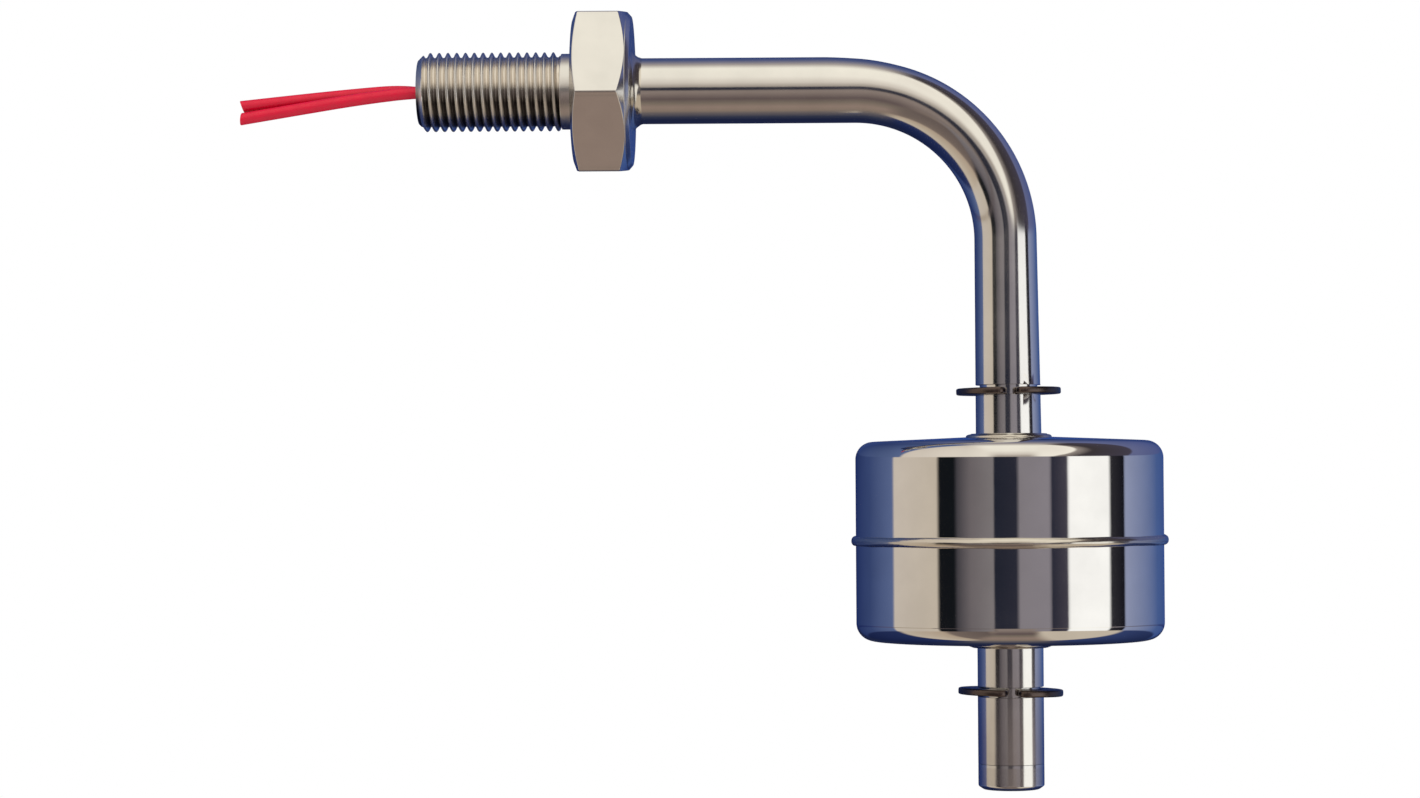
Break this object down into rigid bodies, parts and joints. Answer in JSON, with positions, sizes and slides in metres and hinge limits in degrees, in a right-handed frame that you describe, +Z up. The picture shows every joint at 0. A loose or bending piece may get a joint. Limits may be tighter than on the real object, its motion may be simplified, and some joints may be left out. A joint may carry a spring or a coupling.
{
  "type": "float level switch",
  "caption": "Bent side-mount level switch whose magnet float slides on a steel stem between stop rings and works a sealed reed contact.",
  "frame": {"origin": "centre of the hexagon's seating face, on the axis of the threaded shank", "axes": "-X out along the threaded shank to the leads, +X into the tank, +Z up, so that the stem hangs down along -Z"},
  "size_m": [0.1116, 0.038, 0.0944],
  "materials": {
    "fitting_steel": "polished",
    "tube_steel": "polished",
    "float_steel": "polished",
    "weld_steel": "satin",
    "ring_steel": "satin",
    "lead_red": "satin",
    "conductor_copper": "satin",
    "potting_resin": "matte",
    "capsule_glass": "gloss",
    "blade_metal": "satin",
    "sleeve_plastic": "matte",
    "splice_brass": "satin",
    "magnet_ferrite": "matte"
  },
  "bodies": {
    "stem": {"hex_fitting": "fitting_steel", "fitting_weld": "weld_steel", "stem_tube": "tube_steel", "end_plug": "tube_steel", "upper_stop_ring": "ring_steel", "lower_stop_ring": "ring_steel", "reed_glass": "capsule_glass", "upper_reed_blade": "blade_metal", "lower_reed_blade": "blade_metal", "reed_sleeve": "sleeve_plastic", "upper_splice": "splice_brass", "lower_splice": "splice_brass", "lead_a_insulation": "lead_red", "lead_a_conductor": "conductor_copper", "lead_b_insulation": "lead_red", "lead_b_conductor": "conductor_copper", "lead_potting": "potting_resin"},
    "float": {"float_upper_shell": "float_steel", "float_lower_shell": "float_steel", "float_seam_weld": "weld_steel", "float_guide_tube": "tube_steel", "upper_collar_weld": "weld_steel", "lower_collar_weld": "weld_steel", "float_magnet": "magnet_ferrite", "magnet_retainer_upper": "ring_steel", "magnet_retainer_lower": "ring_steel"}
  },
  "joints": [
    {"name": "float_slide", "type": "slide", "parent": "stem", "child": "float", "axis": [0, 0, 1], "range_m": [-0.00475, 0.0046]}
  ]
}
